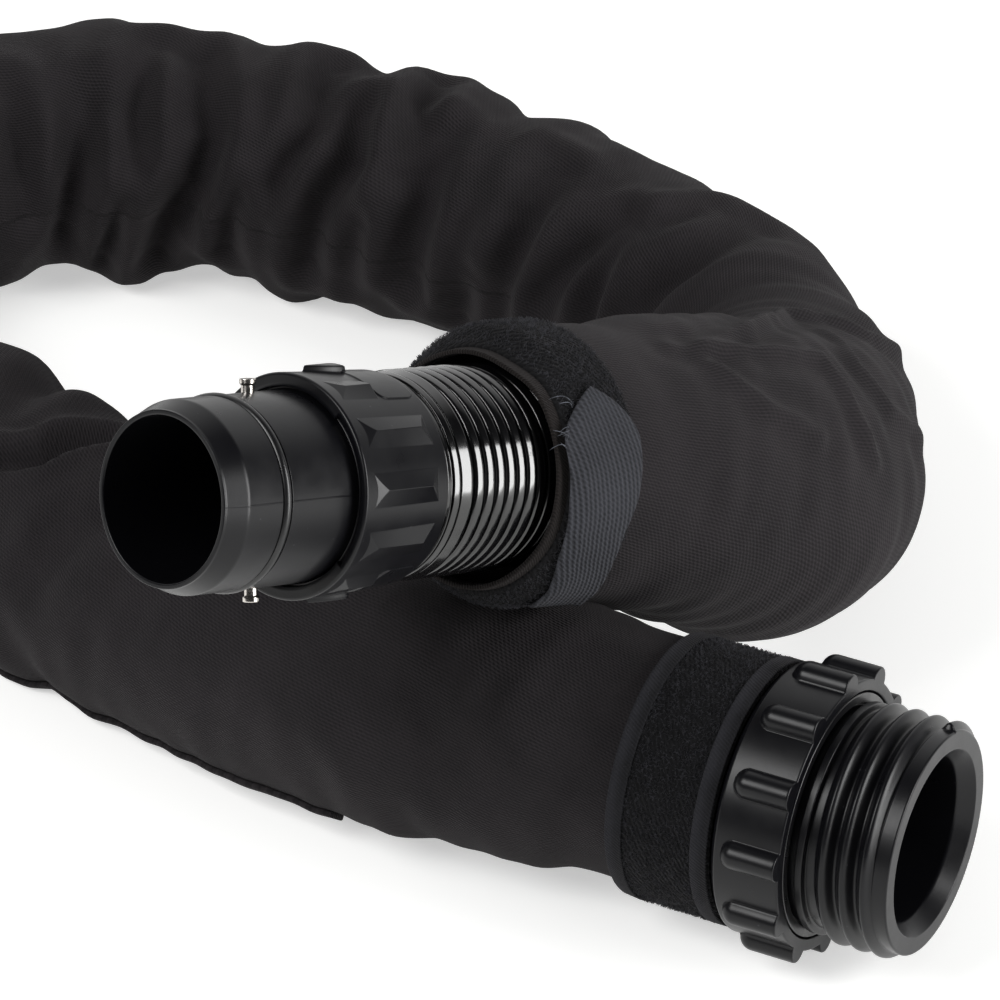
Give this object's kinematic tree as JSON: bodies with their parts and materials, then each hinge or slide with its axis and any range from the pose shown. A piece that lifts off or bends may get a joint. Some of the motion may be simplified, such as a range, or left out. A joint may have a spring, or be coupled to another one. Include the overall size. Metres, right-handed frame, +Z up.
{
  "type": "sleeved breathing-air hose",
  "caption": "Ribbed air hose in a gathered cloth sleeve, lying in a loop, with a pinned bayonet spigot at one end and a round-thread connector with a lobed hand wheel at the other.",
  "frame": {"origin": "middle of the object's footprint on the floor it lies on", "axes": "+Z up; +Y from the front run, with both connectors, to the back run of the loop; +X towards the threaded end"},
  "size_m": [0.2396, 0.2812, 0.1084],
  "materials": {
    "satin_plastic": "moulded, satin",
    "hose_rubber": "glossy",
    "seal_rubber": "satin",
    "steel": "polished",
    "sleeve_cloth": "fine twill",
    "loop_pile": "loop pile",
    "hook_tape": "open weave",
    "binding_tape": "herringbone"
  },
  "bodies": {
    "hose": {"corrugated_hose": "hose_rubber", "fabric_sleeve": "sleeve_cloth", "sleeve_seam": "sleeve_cloth", "hose_tail_right": "satin_plastic", "tail_seal_right": "seal_rubber", "hose_cuff_right": "hose_rubber", "clamp_ring_right": "hose_rubber", "hem_binding_right": "binding_tape", "loop_band_right": "loop_pile", "hook_tab_right": "hook_tape", "hose_tail_left": "satin_plastic", "tail_seal_left": "seal_rubber", "hose_cuff_left": "hose_rubber", "clamp_ring_left": "hose_rubber", "hem_binding_left": "binding_tape", "loop_band_left": "loop_pile", "hook_tab_left": "hook_tape"},
    "bayonet": {"bayonet_spigot": "satin_plastic", "nose_seal": "seal_rubber", "bayonet_pin_upper": "steel", "bayonet_pin_lower": "steel", "grip_collar": "satin_plastic", "snap_ring_left": "steel"},
    "screw_end": {"threaded_connector": "satin_plastic", "hand_wheel": "satin_plastic", "wheel_gasket": "seal_rubber", "snap_ring_right": "steel"},
    "left_flap": {"hook_flap_left": "hook_tape"},
    "right_flap": {"hook_flap_right": "hook_tape"}
  },
  "joints": [
    {"name": "bayonet_swivel", "type": "hinge", "parent": "hose", "child": "bayonet", "pos_m": [0.02383, -0.09711, 0.07928], "axis": [-0.6818, -0.6598, 0.3159], "continuous": true},
    {"name": "thread_swivel", "type": "hinge", "parent": "hose", "child": "screw_end", "pos_m": [0.08178, -0.10586, 0.02513], "axis": [0.8822, -0.4709, 0], "continuous": true},
    {"name": "left_flap_peel", "type": "hinge", "parent": "hose", "child": "left_flap", "pos_m": [0.05744, -0.09717, 0.0691], "axis": [0.6818, 0.6598, -0.3159], "range_deg": [0, 80]},
    {"name": "right_flap_peel", "type": "hinge", "parent": "hose", "child": "right_flap", "pos_m": [0.08643, -0.08505, 0.01374], "axis": [-0.8822, 0.4709, 0], "range_deg": [0, 75]}
  ]
}
